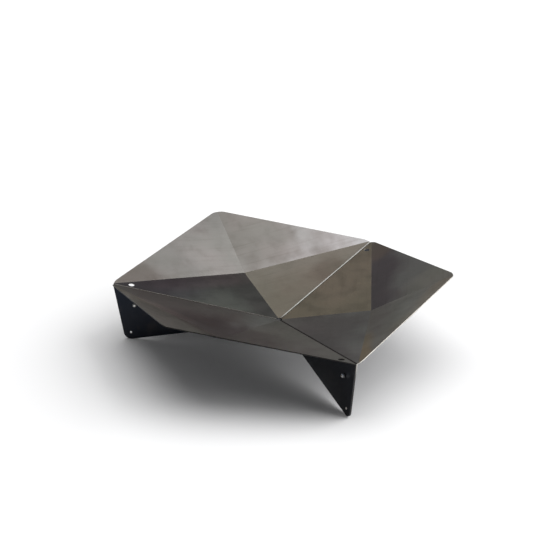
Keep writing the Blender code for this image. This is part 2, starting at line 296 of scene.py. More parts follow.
def outline_x(y):
    """Where the outer outline crosses a line along the seam, at any height of the flat sheet."""
    if y <= on_edge.y:
        return on_edge.x + edge_up.x / edge_up.y * (y - on_edge.y)
    if y >= on_rim.y:
        return on_rim.x + rim_way.x / rim_way.y * (y - on_rim.y)
    return round_centre.x - math.sqrt(LEG_CORNER_ROUNDING**2 - (y - round_centre.y) ** 2)


def rounding(start, end, steps):
    """Points of the corner's rounding between two of its points, both included."""
    first, last = angle_of(start - round_centre), angle_of(end - round_centre)
    return arc(round_centre, LEG_CORNER_ROUNDING, first % math.tau, last % math.tau, steps)


def crease_end():
    """Where the crease runs out into the corner's rounding, as a flat point."""
    ray = Vector((math.cos(crease_angle), math.sin(crease_angle)))
    nearest = ray.dot(round_centre)
    off = nearest**2 - round_centre.length_squared + LEG_CORNER_ROUNDING**2
    return ray * (nearest - math.sqrt(off))


print("corner rounding from", on_edge, "to", on_rim)

# %% [markdown]
# ## The folded faces
# Each facet becomes one flat many-sided face. Working with whole facets instead of triangles keeps
# them truly flat, and lets the creases be rounded afterwards with a bevel. Both halves are built,
# and the points that they share are merged.

# %% The faces of half a sheet
RAISED_CORNER_ROUNDING = 0.042
CENTRE_STEPS = 8


def opening_x(start):
    """How far along the seam from a start the centre opening's edge lies."""
    radius = math.sqrt(CENTRE_OPENING_RADIUS**2 - start.dot(leg_side) ** 2)
    return (start.dot(outward) - radius) / -seam.dot(outward)


def leg_face():
    outer = Vector((outline_x(leg_y), leg_y))
    edge = [outer]
    if leg_y > on_edge.y:
        edge = rounding(outer, on_edge, ROUNDING_STEPS)
    inner = Vector((opening_x(on_leg(Vector((0, leg_y)))), leg_y))
    return [on_leg(flat) for flat in [inner, *edge, *leg_outline]]


def bend_faces():
    rows = []
    for step in range(BEND_STEPS + 1):
        share = step / BEND_STEPS
        x = outline_x(bowl_y + share * (leg_y - bowl_y))
        rows.append((on_bend(x, share), on_bend(opening_x(on_bend(0, share)), share)))
    return [[a, b, d, c] for (a, b), (c, d) in zip(rows, rows[1:])]


def inner_face():
    """The facet between the seam, the crease and the fold point."""
    corner = Vector((outline_x(bowl_y), bowl_y))
    inner = on_bowl(Vector((opening_x(on_bend(0, 0)), bowl_y)))
    opening = []
    for step in range(CENTRE_STEPS):
        turn = angle_of(inner) * step / CENTRE_STEPS
        place = Vector((math.cos(turn), math.sin(turn), 0)) * CENTRE_OPENING_RADIUS
        rise = (leg_corner - place).dot(below) / below.z
        opening.append(place + UP * rise)
    edge = rounding(corner, crease_end(), ROUNDING_STEPS)
    return [fold_point, *opening, inner] + [on_bowl(flat) for flat in edge]


def rim_face():
    """The facet between the crease, the rim and the raised corner."""
    inward = (fold_point - raised_corner).normalized()
    across = square_to(inward, leg_corner - raised_corner)
    half = inward.angle(leg_corner - raised_corner)
    centre = raised_corner + inward * RAISED_CORNER_ROUNDING / math.sin(half)
    tip = []
    for step in range(ROUNDING_STEPS + 1):
        turn = (math.pi / 2 - half) * (1 - step / ROUNDING_STEPS)
        spoke = across * math.sin(turn) - inward * math.cos(turn)
        tip.append(centre + spoke * RAISED_CORNER_ROUNDING)
    edge = rounding(crease_end(), on_rim, ROUNDING_STEPS)
    return [fold_point] + [on_bowl(flat) for flat in edge] + tip


half_faces = [leg_face(), *bend_faces(), inner_face(), rim_face()]
print("faces of half a sheet:", len(half_faces))

# %% [markdown]
# ## Creases with a real radius
# A press leaves a small radius in every fold, and its thin highlight is what tells steel from
# folded paper. The four creases that meet at the fold point are picked by that point and rounded
# with a bevel. It comes before the thickness, so that both sides of the sheet follow it.

# %% The folded skin
CREASE_HALF_WIDTH = 0.0011
CREASE_STEPS = 4
MERGE_DISTANCE = 0.000001

skin = bmesh.new()
for mirror in (1, -1):
    for face in half_faces:
        skin.faces.new([skin.verts.new((p.x, p.y * mirror, p.z)) for p in face])
bmesh.ops.remove_doubles(skin, verts=skin.verts, dist=MERGE_DISTANCE)
bmesh.ops.recalc_face_normals(skin, faces=skin.faces)
if sum(face.normal.z * face.calc_area() for face in skin.faces) < 0:
    bmesh.ops.reverse_faces(skin, faces=skin.faces)
folded = min(skin.verts, key=lambda vert: (vert.co - fold_point).length)
creases = list(folded.link_edges)
bmesh.ops.bevel(
    skin,
    geom=creases,
    offset=CREASE_HALF_WIDTH,
    offset_type="OFFSET",
    segments=CREASE_STEPS,
    profile=0.5,
    affect="EDGES",
    clamp_overlap=True,
)
print("creases:", len(creases), "faces:", len(skin.faces))
sheet = add_piece("sheet_pattern", mesh_from(skin, "sheet_pattern"))

# %% [markdown]
# ## Holes
# On the real blank the holes are cut before folding. Here they are drilled afterwards with a
# Boolean, because a face with a hole in it can't be one simple polygon. The drill is one mesh of
# several closed rods, each square to the plate that it goes through.

# %% The drill
HOLE_STEPS = 48
DRILL_REACH = 0.006
BOLT_HOLE_DIAMETER = 0.007
FOOT_HOLE_DIAMETER = 0.007
SIDE_HOLE_DIAMETER = 0.016
SIDE_HOLE_INSET = 0.053
SIDE_HOLE_OFF_SEAM = 0.017
OUTER_BOLT_INSET = 0.064
OUTER_BOLT_DROP = 0.0477
INNER_BOLT_RADIUS = 0.090
INNER_BOLT_DROP = 0.0204


def seam_height(radius):
    rise = (LEG_CORNER_HEIGHT - CENTRE_HEIGHT) / LEG_CORNER_RADIUS
    return CENTRE_HEIGHT + rise * radius


def bolt_place(radius, drop):
    return Vector((radius, seam_height(radius) - drop))


def add_rod(grid, centre, along, diameter):
    turn = along.to_track_quat("Z", "Y").to_matrix().to_4x4()
    bmesh.ops.create_cone(
        grid,
        cap_ends=True,
        segments=HOLE_STEPS,
        radius1=diameter / 2,
        radius2=diameter / 2,
        depth=2 * DRILL_REACH,
        matrix=Matrix.Translation(centre) @ turn,
    )


BOLT_PLACES = {
    "outer": bolt_place(LEG_CORNER_RADIUS - OUTER_BOLT_INSET, OUTER_BOLT_DROP),
    "inner": bolt_place(INNER_BOLT_RADIUS, INNER_BOLT_DROP),
}
drill_grid = bmesh.new()
for mirror in (1, -1):
    flip = Vector((1, mirror, 1))
    along = leg_side * flip
    for place in BOLT_PLACES.values():
        add_rod(drill_grid, on_leg(flat_of_leg(place)) * flip, along, BOLT_HOLE_DIAMETER)
    add_rod(drill_grid, on_leg(flat_of_leg(foot)) * flip, along, FOOT_HOLE_DIAMETER)
side_hole_x = SIDE_HOLE_INSET / -seam.dot(outward)
side_hole = on_bowl(Vector((side_hole_x, SIDE_HOLE_OFF_SEAM)))
add_rod(drill_grid, side_hole, below, SIDE_HOLE_DIAMETER)
drill = add_piece("drill", mesh_from(drill_grid, "drill"))
print("side hole at", side_hole)

# %% [markdown]
# ## Thickness and broken edges
# Solidify gives the skin its 2 mm downwards, and hands the underside and the cut edge to finishes
# of their own. The Boolean drills it. A narrow Bevel on edges sharper than the creases breaks the
# cut edges as a file would, and Weighted Normal keeps the large facets looking flat.

# %% From skin to sheet
EDGE_BREAK = 0.00025
EDGE_ANGLE = math.radians(50)

for name in ("inside", "underside", "cut_edge", "bore"):
    sheet.data.materials.append(bpy.data.materials.new("pattern_" + name))
drill.data.materials.append(sheet.data.materials[3])
thicken = sheet.modifiers.new("thickness", "SOLIDIFY")
thicken.thickness = SHEET_THICKNESS
thicken.offset = -1
thicken.use_even_offset = True
thicken.material_offset = 1
thicken.material_offset_rim = 2
holes = sheet.modifiers.new("holes", "BOOLEAN")
holes.operation = "DIFFERENCE"
holes.object = drill
holes.material_mode = "TRANSFER"
edges = sheet.modifiers.new("broken_edges", "BEVEL")
edges.width = EDGE_BREAK
edges.segments = 2
edges.limit_method = "ANGLE"
edges.angle_limit = EDGE_ANGLE
edges.use_clamp_overlap = False
edges.material = 2
flatten = sheet.modifiers.new("flat_facets", "WEIGHTED_NORMAL")
flatten.keep_sharp = True
sheet.data.shade_smooth()


def made_mesh(piece, name):
    """The piece's mesh with its modifiers applied, as a new mesh."""
    graph = bpy.context.evaluated_depsgraph_get()
    mesh = bpy.data.meshes.new_from_object(piece.evaluated_get(graph), depsgraph=graph)
    mesh.name = name
    return mesh


sheet_mesh = made_mesh(sheet, "folded_sheet")
for helper in (sheet, drill):
    bpy.data.objects.remove(helper)
check = bmesh.new()
check.from_mesh(sheet_mesh)
open_edges = sum(not edge.is_manifold for edge in check.edges)
print("sheet:", len(check.faces), "faces,", open_edges, "open edges")
check.free()

# %% [markdown]
# ## Finishes grown from noise
# A painted image would need unwrapping and would show its seams. Every finish here is grown from
# noise in the piece's own coordinates instead. One small class keeps the node work short: each of
# its methods adds a node and returns its output, so that a finish reads like a recipe.

# %% A recipe of nodes
SEED_STEP = 7.3
SAME_FACET = (0.9985, 0.9995)
PATCH_EDGE = (0.5, 1.6)
PATCH_DEPTH = 10
WORN_TURN = (0.8, 0.99)
# The turns are cosines between two normals: those of a facet, and a rounded and a flat one.


class Recipe:
    """A metal finish, built up node by node in the piece's own coordinates."""

    def __init__(self, name, seed, turn=0):
        self.material = bpy.data.materials.new(name)
        self.material.use_nodes = True
        self.tree = self.material.node_tree
        self.shader = self.tree.nodes["Principled BSDF"]
        self.shader.inputs["Metallic"].default_value = 1
        place = self.add("ShaderNodeTexCoord", {}).outputs["Object"]
        inputs = {"Vector": place, "Rotation": (0, 0, math.radians(-turn))}
        self.place = self.add("ShaderNodeMapping", inputs).outputs["Vector"]
        self.seed = seed

    def feed(self, socket, value):
        if isinstance(value, bpy.types.NodeSocket):
            self.tree.links.new(value, socket)
        else:
            socket.default_value = value

    def add(self, kind, inputs, **settings):
        node = self.tree.nodes.new(kind)
        for setting, value in settings.items():
            setattr(node, setting, value)
        for socket, value in inputs.items():
            self.feed(node.inputs[socket], value)
        return node

    def noise(self, scale, stretch=(1, 1, 1), detail=5):
        """Cloudy noise around 0.5. A low stretch in one direction draws it out into streaks."""
        self.seed += SEED_STEP
        shift = (self.seed, self.seed, self.seed)
        inputs = {"Vector": self.place, "Location": shift, "Scale": stretch}
        moved = self.add("ShaderNodeMapping", inputs).outputs["Vector"]
        inputs = {"Vector": moved, "Scale": scale, "Detail": detail}
        return self.add("ShaderNodeTexNoise", inputs).outputs["Fac"]

    def ease(self, value, low, high, to_low=0.0, to_high=1.0):
        """The value, taken smoothly from one range to another."""
        inputs = {"Value": value, "From Min": low, "From Max": high}
        inputs.update({"To Min": to_low, "To Max": to_high})
        node = self.add("ShaderNodeMapRange", inputs, interpolation_type="SMOOTHSTEP")
        return node.outputs["Result"]

    def maths(self, operation, first, second):
        inputs = {0: first, 1: second}
        return self.add("ShaderNodeMath", inputs, operation=operation).outputs[0]

    def mix(self, share, first, second, blend="MIX"):
        inputs = {0: share, 6: first, 7: second}
        node = self.add("ShaderNodeMix", inputs, data_type="RGBA", blend_type=blend)
        return node.outputs[2]

    def height(self):
        return self.add("ShaderNodeSeparateXYZ", {"Vector": self.place}).outputs["Z"]

    def facet(self, normal):
        """1 on the flat facet with this normal, and 0 on its neighbours."""
        flat = self.add("ShaderNodeNewGeometry", {}).outputs["True Normal"]
        inputs = {0: flat, 1: normal}
        node = self.add("ShaderNodeVectorMath", inputs, operation="DOT_PRODUCT")
        return self.ease(node.outputs["Value"], *SAME_FACET)

    def patch(self, centre, size, turn, border):
        """1 inside a long round patch, seen from above, and 0 outside its ragged border."""
        inputs = {"Vector": self.place, "Location": (*centre, 0), "Scale": (*size, PATCH_DEPTH)}
        inputs["Rotation"] = (0, 0, math.radians(turn))
        moved = self.add("ShaderNodeMapping", inputs, vector_type="TEXTURE").outputs["Vector"]
        length = self.add("ShaderNodeVectorMath", {0: moved}, operation="LENGTH")
        ragged = self.maths("ADD", length.outputs["Value"], border)
        return self.ease(ragged, *PATCH_EDGE, 1, 0)

    def worn_edge(self, width):
        """1 on edges and folds, where a rounded normal turns away from the flat one."""
        inputs = {"Radius": width}
        rounded = self.add("ShaderNodeBevel", inputs, samples=4).outputs["Normal"]
        flat = self.add("ShaderNodeNewGeometry", {}).outputs["True Normal"]
        inputs = {0: rounded, 1: flat}
        node = self.add("ShaderNodeVectorMath", inputs, operation="DOT_PRODUCT")
        return self.ease(node.outputs["Value"], *WORN_TURN, 1, 0)

    def finish(self, colour, roughness, height, depth):
        """Feeds the shader, with the height as a bump of that depth in metres."""
        inputs = {"Height": height, "Distance": depth, "Strength": 1.0}
        bump = self.add("ShaderNodeBump", inputs).outputs["Normal"]
        self.feed(self.shader.inputs["Base Color"], colour)
        self.feed(self.shader.inputs["Roughness"], roughness)
        self.feed(self.shader.inputs["Normal"], bump)
        return self.material


def tone(red, green, blue):
    return (red, green, blue, 1)


# %% [markdown]
# ## Bare steel tinted by heat and by painted light
# The bowl's inside is bare rolled steel. Heat has left it brown, bronze, purple and green-grey in
# wide soft patches, the roller has left fine streaks along the plate, and rain a few blooms. The
# patches are placed sheet by sheet, along the creases and the rim. They are partly heat colour and
# partly painted light: the tone steps between facets stand in for reflections of the lamps, the
# darkened bends are painted shade in the seams and creases, and a bronze strip by one crease is a
# painted reflection of firelight.

# %% The four facets of a sheet
def facet_normal(third, side):
    """The upward normal of the facet that a corner spans with the crease on a side, 1 or -1."""
    flip = Vector((1, side, 1))
    normal = (leg_corner * flip - fold_point).cross(third - fold_point).normalized()
    return normal if normal.z > 0 else -normal


FACETS = {}
for side, side_name in ((1, "left"), (-1, "right")):
    FACETS["rim_" + side_name] = facet_normal(raised_corner, side)
    FACETS["inner_" + side_name] = facet_normal(UP * CENTRE_HEIGHT, side)
print("facet normals:", {name: [round(v, 2) for v in way] for name, way in FACETS.items()})

# %% The inside of a sheet
INSIDE_TONE = tone(0.268, 0.262, 0.252)
INSIDE_BLOOM = tone(0.230, 0.236, 0.221)
INSIDE_STREAK = tone(0.62, 0.58, 0.55)
INSIDE_WORN = tone(0.460, 0.450, 0.440)
INSIDE_WEAR_WIDTH = 0.0012
STEEL_RELIEF = 0.00003


def inside_steel(name, seed, place_turn, tints_and_light):
    """The tint patches hold both heat colour and painted light. Each names a facet, "all" of them or
    the
    "bend" between them, and gives its colour and the centre, size and turn of its patch."""
    steel = Recipe(name, seed, place_turn)
    clouds = steel.noise(5, detail=6)
    mottles = steel.noise(26, detail=6)
    streaks = steel.noise(150, stretch=(1, 0.03, 0.3), detail=6)
    grain = steel.noise(700, stretch=(1, 0.15, 1), detail=3)
    colour = steel.mix(steel.ease(clouds, 0.35, 0.65), INSIDE_TONE, INSIDE_BLOOM)
    border = steel.ease(steel.noise(9, detail=3), 0.3, 0.7, -0.3, 0.3)
    in_place = Matrix.Rotation(math.radians(place_turn), 3, "Z")
    masks = {facet: steel.facet(in_place @ normal) for facet, normal in FACETS.items()}
    flat = 0
    for mask in masks.values():
        flat = steel.maths("ADD", flat, mask)
    masks["bend"] = steel.maths("SUBTRACT", 1, flat)
    masks["all"] = flat
    colour = steel.mix(steel.ease(streaks, 0.5, 0.75, 0, 0.25), colour, INSIDE_STREAK, "MULTIPLY")
    colour = steel.mix(steel.ease(mottles, 0.45, 0.8, 0, 0.3), colour, INSIDE_STREAK, "MULTIPLY")
    worn_share = steel.ease(mottles, 0.35, 0.6, 0.3, 0.8)
    worn = steel.maths("MULTIPLY", steel.worn_edge(INSIDE_WEAR_WIDTH), worn_share)
    colour = steel.mix(worn, colour, INSIDE_WORN)
    for facet, tint_and_light, centre, size, turn in tints_and_light:
        patch = steel.patch(centre, size, turn, border)
        share = steel.maths("MULTIPLY", patch, masks[facet])
        colour = steel.mix(share, colour, tone(*tint_and_light), "MULTIPLY")
    roughness = steel.ease(mottles, 0.3, 0.7, 0.30, 0.38)
    relief = steel.maths("ADD", steel.maths("MULTIPLY", streaks, 0.4), grain)
    return steel.finish(colour, roughness, relief, STEEL_RELIEF)


SHEETS = {"right_sheet": 0, "rear_left_sheet": 120, "front_left_sheet": 240}
TINTS_AND_PAINTED_LIGHT = {
    "right_sheet": [
        ("rim_left", (0.56, 0.49, 0.54), (0.262, 0.17), (0.050, 0.21), 2),
        ("rim_left", (1.50, 1.38, 1.14), (0.250, 0.36), (0.040, 0.09), 0),
        ("rim_left", (1.28, 1.24, 1.16), (0.44, 0.03), (0.09, 0.09), 0),
        ("inner_left", (0.97, 0.83, 0.66), (0.15, 0.2), (0.5, 0.5), 0),
        ("inner_right", (0.64, 0.58, 0.60), (0.12, -0.16), (0.12, 0.18), 0),
        ("rim_right", (1.02, 0.99, 0.93), (0.30, -0.20), (0.6, 0.6), 0),
        ("rim_right", (0.84, 0.80, 0.84), (0.262, -0.09), (0.035, 0.12), 0),
        # A bronze strip beside the crease by the front leg: a painted reflection of firelight.
        ("rim_right", (1.24, 1.03, 0.74), (0.240, -0.33), (0.018, 0.13), 0),
        ("rim_right", (1.12, 1.00, 0.86), (0.41, -0.08), (0.14, 0.03), 60),
        ("rim_right", (1.18, 1.18, 1.18), (0.365, 0.0), (0.07, 0.02), 0),
        ("rim_left", (0.90, 0.90, 0.90), (0.34, 0.0), (0.03, 0.03), 0),
        ("inner_right", (0.83, 0.83, 0.83), (0.165, -0.27), (0.15, 0.03), -60),
        # These two bands darken the bends along both seams: painted shade in the grooves between the
        # sheets.
        ("bend", (0.16, 0.13, 0.14), (0.115, -0.20), (0.4, 0.02), -60),
        ("bend", (0.30, 0.26, 0.24), (0.115, 0.20), (0.4, 0.02), 60),
    ],
    "rear_left_sheet": [
        ("rim_left", (0.585, 0.555, 0.56), (0.28, 0.18), (0.6, 0.6), 0),
        ("rim_left", (0.72, 0.70, 0.67), (0.23, 0.40), (0.13, 0.16), 0),
        ("rim_left", (1.18, 1.18, 1.17), (0.30, 0.02), (0.10, 0.10), 0),
        ("rim_right", (1.04, 1.02, 1.07), (0.28, -0.18), (0.6, 0.6), 0),
        ("rim_right", (0.57, 0.54, 0.51), (0.38, 0.02), (0.22, 0.3), 0),
        ("rim_right", (0.86, 0.85, 0.84), (0.24, -0.22), (0.03, 0.06), 0),
        ("rim_right", (1.04, 1.05, 1.06), (0.24, -0.38), (0.04, 0.04), 0),
        ("inner_left", (0.38, 0.37, 0.37), (0.15, 0.2), (0.5, 0.5), 0),
        ("inner_left", (0.76, 0.72, 0.82), (0.20, 0.34), (0.12, 0.20), 0),
        ("inner_left", (1.45, 1.58, 1.50), (0.10, 0.15), (0.08, 0.10), 0),
        ("inner_left", (1.20, 1.05, 1.08), (0.22, 0.12), (0.04, 0.14), 0),
        ("inner_right", (0.86, 0.79, 0.70), (0.15, -0.2), (0.5, 0.5), 0),
        ("inner_right", (0.80, 0.77, 0.74), (0.05, -0.08), (0.14, 0.20), 0),
        ("inner_right", (0.86, 0.82, 0.81), (0.155, -0.22), (0.045, 0.045), 0),
        # A lighter and a darker band on either side of the crease to the raised corner: partly
        # painted light, standing in for the facets' different reflections.
        ("rim_left", (1.06, 1.06, 1.06), (0.345, 0.0), (0.10, 0.02), 0),
        ("rim_right", (0.91, 0.905, 0.90), (0.35, 0.0), (0.18, 0.06), 0),
        ("rim_left", (0.84, 0.83, 0.82), (0.245, 0.32), (0.04, 0.09), 0),
        ("inner_left", (0.88, 0.88, 0.88), (0.235, 0.26), (0.02, 0.09), 0),
        # These two bands darken the crease to the raised corner and the bend along the left seam:
        # painted shade.
        ("bend", (0.58, 0.56, 0.54), (0.354, 0.0), (0.2, 0.02), 0),
        ("bend", (0.17, 0.15, 0.13), (0.115, 0.20), (0.4, 0.02), 60),
    ],
    "front_left_sheet": [
        ("rim_right", (1.22, 1.19, 1.16), (0.25, -0.34), (0.07, 0.08), 0),
        ("rim_right", (1.0, 0.93, 0.87), (0.28, -0.18), (0.5, 0.5), 0),
        ("all", (0.60, 0.51, 0.54), (0.220, 0.02), (0.070, 0.18), 0),
        ("inner_right", (0.64, 0.56, 0.55), (0.16, -0.25), (0.14, 0.22), 0),
        ("inner_left", (0.86, 0.84, 0.80), (0.16, 0.2), (0.2, 0.26), 0),
        ("inner_right", (1.40, 1.38, 1.35), (0.235, -0.19), (0.014, 0.09), 0),
        ("rim_right", (1.16, 1.15, 1.13), (0.245, -0.19), (0.016, 0.08), 0),
        # These two bands darken the bends along both seams: painted shade in the grooves between the
        # sheets.
        ("bend", (0.16, 0.13, 0.14), (0.115, 0.20), (0.4, 0.02), 60),
        ("bend", (0.07, 0.06, 0.06), (0.115, -0.20), (0.4, 0.02), -60),
    ],
}
inside_finishes = {}
for number, (name, tints_and_light) in enumerate(TINTS_AND_PAINTED_LIGHT.items()):
    finish_name = "steel_inside_" + name
    inside_finishes[name] = inside_steel(finish_name, 3 + 11 * number, SHEETS[name], tints_and_light)
print("inside finishes:", sorted(inside_finishes))

# %% [markdown]
# ## Underside and cut edge
# The underside never sees the light and keeps its blue-black mill scale, so it is much darker than
# the inside; part of that darkness is painted shade, dark as the reflections under the bowl. The
# edge was cut through that skin and shows plain metal, with fine lines across its thickness where
# the cut ran. Each sheet's rim has its own tones, set as painted light and shade: the front left rim
# is dark as painted shade, and the right one light. The holes are sooty in the bowl, and their
# bores in the feet are light as painted light.

# %% Dark scale and bright cut
# The scale's tones are partly mill scale and partly painted shade, dark as the reflections under the
# bowl.
SCALE_AND_SHADE_TONE = tone(0.018, 0.021, 0.028)
SCALE_AND_SHADE_CLOUD = tone(0.030, 0.031, 0.037)
SCALE_STREAK = tone(0.05, 0.045, 0.045)
SCALE_WORN = tone(0.12, 0.12, 0.125)
SCALE_WEAR_WIDTH = 0.001
CUT_ON_LEG = (tone(0.07, 0.07, 0.072), tone(0.045, 0.042, 0.040))
CUT_LINE = tone(0.6, 0.58, 0.56)
CUT_FADE = (0.115, 0.155)
CUT_RELIEF = 0.00004
BORE_IN_BOWL = (tone(0.020, 0.018, 0.017), tone(0.045, 0.036, 0.030))
# The feet's bores are light as painted light.
FOOT_BORE_PAINTED_LIGHT = (tone(0.56, 0.53, 0.51), tone(0.42, 0.40, 0.38))
BORE_FADE = (0.04, 0.10)
# Each fade is the pair of heights between which the lower tone gives way to the upper one.


def underside_steel(name, seed, place_turn):
    scale = Recipe(name, seed, place_turn)
    clouds = scale.noise(9, detail=6)
    streaks = scale.noise(70, stretch=(1, 0.08, 0.4), detail=5)
    grain = scale.noise(600, detail=3)
    colour = scale.mix(scale.ease(clouds, 0.35, 0.65), SCALE_AND_SHADE_TONE, SCALE_AND_SHADE_CLOUD)
    colour = scale.mix(scale.ease(streaks, 0.55, 0.75, 0, 0.4), colour, SCALE_STREAK)
    worn = scale.maths("MULTIPLY", scale.worn_edge(SCALE_WEAR_WIDTH), 0.5)
    colour = scale.mix(worn, colour, SCALE_WORN)
    roughness = scale.ease(clouds, 0.3, 0.7, 0.44, 0.56)
    return scale.finish(colour, roughness, scale.maths("ADD", streaks, grain), STEEL_RELIEF)


def cut_steel(name, seed, rim_tone, rim_cloud):
    """Its own two tones at the rim, which are painted light and shade, and dark down the legs."""
    cut = Recipe(name, seed)
    clouds = cut.noise(30, detail=4)
    lines = cut.noise(900, stretch=(1, 1, 0.15), detail=2)
    rim = cut.mix(cut.ease(clouds, 0.3, 0.7), tone(*rim_tone), tone(*rim_cloud))
    leg = cut.mix(cut.ease(clouds, 0.4, 0.6), *CUT_ON_LEG)
    colour = cut.mix(cut.ease(cut.height(), *CUT_FADE), leg, rim)
    colour = cut.mix(cut.ease(lines, 0.45, 0.7, 0, 0.3), colour, CUT_LINE, "MULTIPLY")
    roughness = cut.ease(lines, 0.3, 0.7, 0.38, 0.52)
    return cut.finish(colour, roughness, lines, CUT_RELIEF)


def bore_steel(name, seed):
    """Sooty inside the holes of the bowl, and light inside those of the feet, as painted light."""
    bore = Recipe(name, seed)
    clouds = bore.noise(200, detail=4)
    in_bowl = bore.mix(bore.ease(clouds, 0.35, 0.65), *BORE_IN_BOWL)
    in_foot_light = bore.mix(bore.ease(clouds, 0.35, 0.65), *FOOT_BORE_PAINTED_LIGHT)
    colour = bore.mix(bore.ease(bore.height(), *BORE_FADE), in_foot_light, in_bowl)
    roughness = bore.ease(clouds, 0.3, 0.7, 0.5, 0.65)
    return bore.finish(colour, roughness, clouds, CUT_RELIEF)


# Each sheet's rim tones are painted light and shade: dark as painted shade on the front left rim,
# light on the right one.
RIM_LIGHT_AND_SHADE_TONES = {
    "right_sheet": ((0.62, 0.60, 0.57), (0.50, 0.47, 0.43)),
    "rear_left_sheet": ((0.21, 0.20, 0.185), (0.16, 0.14, 0.12)),
    "front_left_sheet": ((0.045, 0.043, 0.041), (0.035, 0.033, 0.031)),
}
cut_finishes = {}
for number, (name, tones) in enumerate(RIM_LIGHT_AND_SHADE_TONES.items()):
    cut_finishes[name] = cut_steel("steel_cut_edge_" + name, 53 + 2 * number, *tones)
bore_finish = bore_steel("steel_bore", 59)

# %% Place the three sheets
def dress(piece, node):
    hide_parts(node)
    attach(piece, "root")


for name, turn in SHEETS.items():
    mesh = sheet_mesh.copy()
    mesh.name = "folded_" + name
    mesh.transform(Matrix.Rotation(math.radians(turn), 4, "Z"))
    underside = underside_steel("steel_underside_" + name, 41 + turn, turn)
    finishes = [inside_finishes[name], underside, cut_finishes[name], bore_finish]
    for index, material in enumerate(finishes):
        mesh.materials[index] = material
    piece = add_piece("folded_" + name, mesh)
    dress(piece, name)
    print("placed", piece.name)

# %% [markdown]
# ## Turned shapes
# Bolts, nuts and washers are stacks of rings around an axis, joined into quads. A ring's radius can
# change with the angle, which gives the hexagon, and so can its height, which gives both the curved
# chamfer on a hexagon's corners and the thread's climb. The columns crowd beside each corner of the
# hexagon, and leave a narrow facet there that catches the light.

# %% Rings and columns
CORNER_TRIM = math.radians(1.6)
COLUMNS_PER_SIDE = 7
SHARP_ANGLE = math.radians(35)
reach = SECTOR / 2 - CORNER_TRIM
TURNS = []
for side in range(6):
    for column in range(COLUMNS_PER_SIDE):
        TURNS.append(side * SECTOR + reach * (2 * column / (COLUMNS_PER_SIDE - 1) - 1))


def turned_mesh(name, rings, is_loop):
    """A closed solid of stacked rings. Each ring gives the radius and height for an angle."""
    grid = bmesh.new()
    rows = []
    for ring in rings:
        row = []
        for turn in TURNS:
            out, rise = ring(turn)
            row.append(grid.verts.new((out * math.cos(turn), out * math.sin(turn), rise)))
        rows.append(row)
    pairs = list(zip(rows, rows[1:]))
    if is_loop:
        pairs.append((rows[-1], rows[0]))
    else:
        grid.faces.new(rows[0])
        grid.faces.new(rows[-1])
    for low, high in pairs:
        for a, b, c, d in zip(low, low[1:] + low[:1], high[1:] + high[:1], high):
            grid.faces.new((a, b, c, d))
    bmesh.ops.recalc_face_normals(grid, faces=grid.faces)
    mesh = mesh_from(grid, name)
    mesh.shade_smooth()
    mesh.set_sharp_from_angle(angle=SHARP_ANGLE)
    return mesh


def round_ring(out, rise):
    return lambda turn: (out, rise)


def hex_radius(turn):
    """The distance from the middle of the hexagon to its edge."""
    from_flat = (turn + SECTOR / 2) % SECTOR - SECTOR / 2
    return HEX_ACROSS_FLATS / 2 / math.cos(from_flat)


def shoulder_ring(rise, direction):
    """The line where a hexagon's side meets the slope around its end face."""
    face = HEX_ACROSS_FLATS / 2 * HEX_FACE_SHARE

    def ring(turn):
        out = hex_radius(turn)
        return out, rise - direction * (out - face) * HEX_CHAMFER_SLOPE

    return ring


# %% [markdown]
# ## The bolt
# A cut thread could be faked with a bump, but it shows in outline where the bolt stands out of its
# nut. Here it is real: the radius follows a triangle wave of the height less the angle, so the
# ridge climbs one pitch for each turn. It fades out under the head and at the chamfered tip.

# %% An M6 bolt
BOLT_DIAMETER = 0.006
BOLT_LENGTH = 0.016
THREAD_PITCH = 0.001
THREAD_DEPTH = 0.0006
THREAD_GAIN = 1.15
THREAD_DROP = 0.05
# A gain over 1 and a drop turn the wave's points into a flat crest and a flat root.
ROWS_PER_PITCH = 8
TIP_CHAMFER = 0.0006
PLAIN_LENGTH = 0.001
HEX_ACROSS_FLATS = 0.010
HEAD_HEIGHT = 0.004
HEX_FACE_SHARE = 0.95
HEX_CHAMFER_SLOPE = math.tan(math.radians(30))
HEAD_DISH = 0.0003
DISH_SHARES = (0.80, 0.68)
FINE_ROUND = 0.0002


def thread_ring(rise):
    def ring(turn):
        phase = (rise / THREAD_PITCH - turn / math.tau) % 1
        ridge = min(1, max(0, THREAD_GAIN * abs(2 * phase - 1) - THREAD_DROP))
        fade = min(1, max(0, (-rise - PLAIN_LENGTH) / THREAD_PITCH))
        out = BOLT_DIAMETER / 2 - THREAD_DEPTH * (1 - ridge) * fade
        return min(out, BOLT_DIAMETER / 2 - TIP_CHAMFER + rise + BOLT_LENGTH), rise

    return ring


def bolt_mesh():
    """Z points out of the head, from the underside of the head."""
    face = HEX_ACROSS_FLATS / 2 * HEX_FACE_SHARE
    rows = round(BOLT_LENGTH / THREAD_PITCH * ROWS_PER_PITCH)
    rings = [round_ring(BOLT_DIAMETER / 2 - 2 * TIP_CHAMFER, -BOLT_LENGTH)]
    rings += [thread_ring(-BOLT_LENGTH + BOLT_LENGTH * row / rows) for row in range(rows)]
    rings.append(round_ring(BOLT_DIAMETER / 2, 0))
    rings.append(round_ring(face, 0))
    rings.append(shoulder_ring(0, -1))
    rings.append(shoulder_ring(HEAD_HEIGHT, 1))
    rings.append(round_ring(face, HEAD_HEIGHT))
    rings.append(round_ring(face * DISH_SHARES[0], HEAD_HEIGHT))
    rings.append(round_ring(face * DISH_SHARES[1], HEAD_HEIGHT - HEAD_DISH))
    return turned_mesh("hex_bolt", rings, is_loop=False)


# %% [markdown]
# ## Nut and washers
# The nut is chamfered on both faces and countersunk around its bore. The washer was punched out of
# strip, so one of its edges is rounder than the other; both are given as small chamfers.

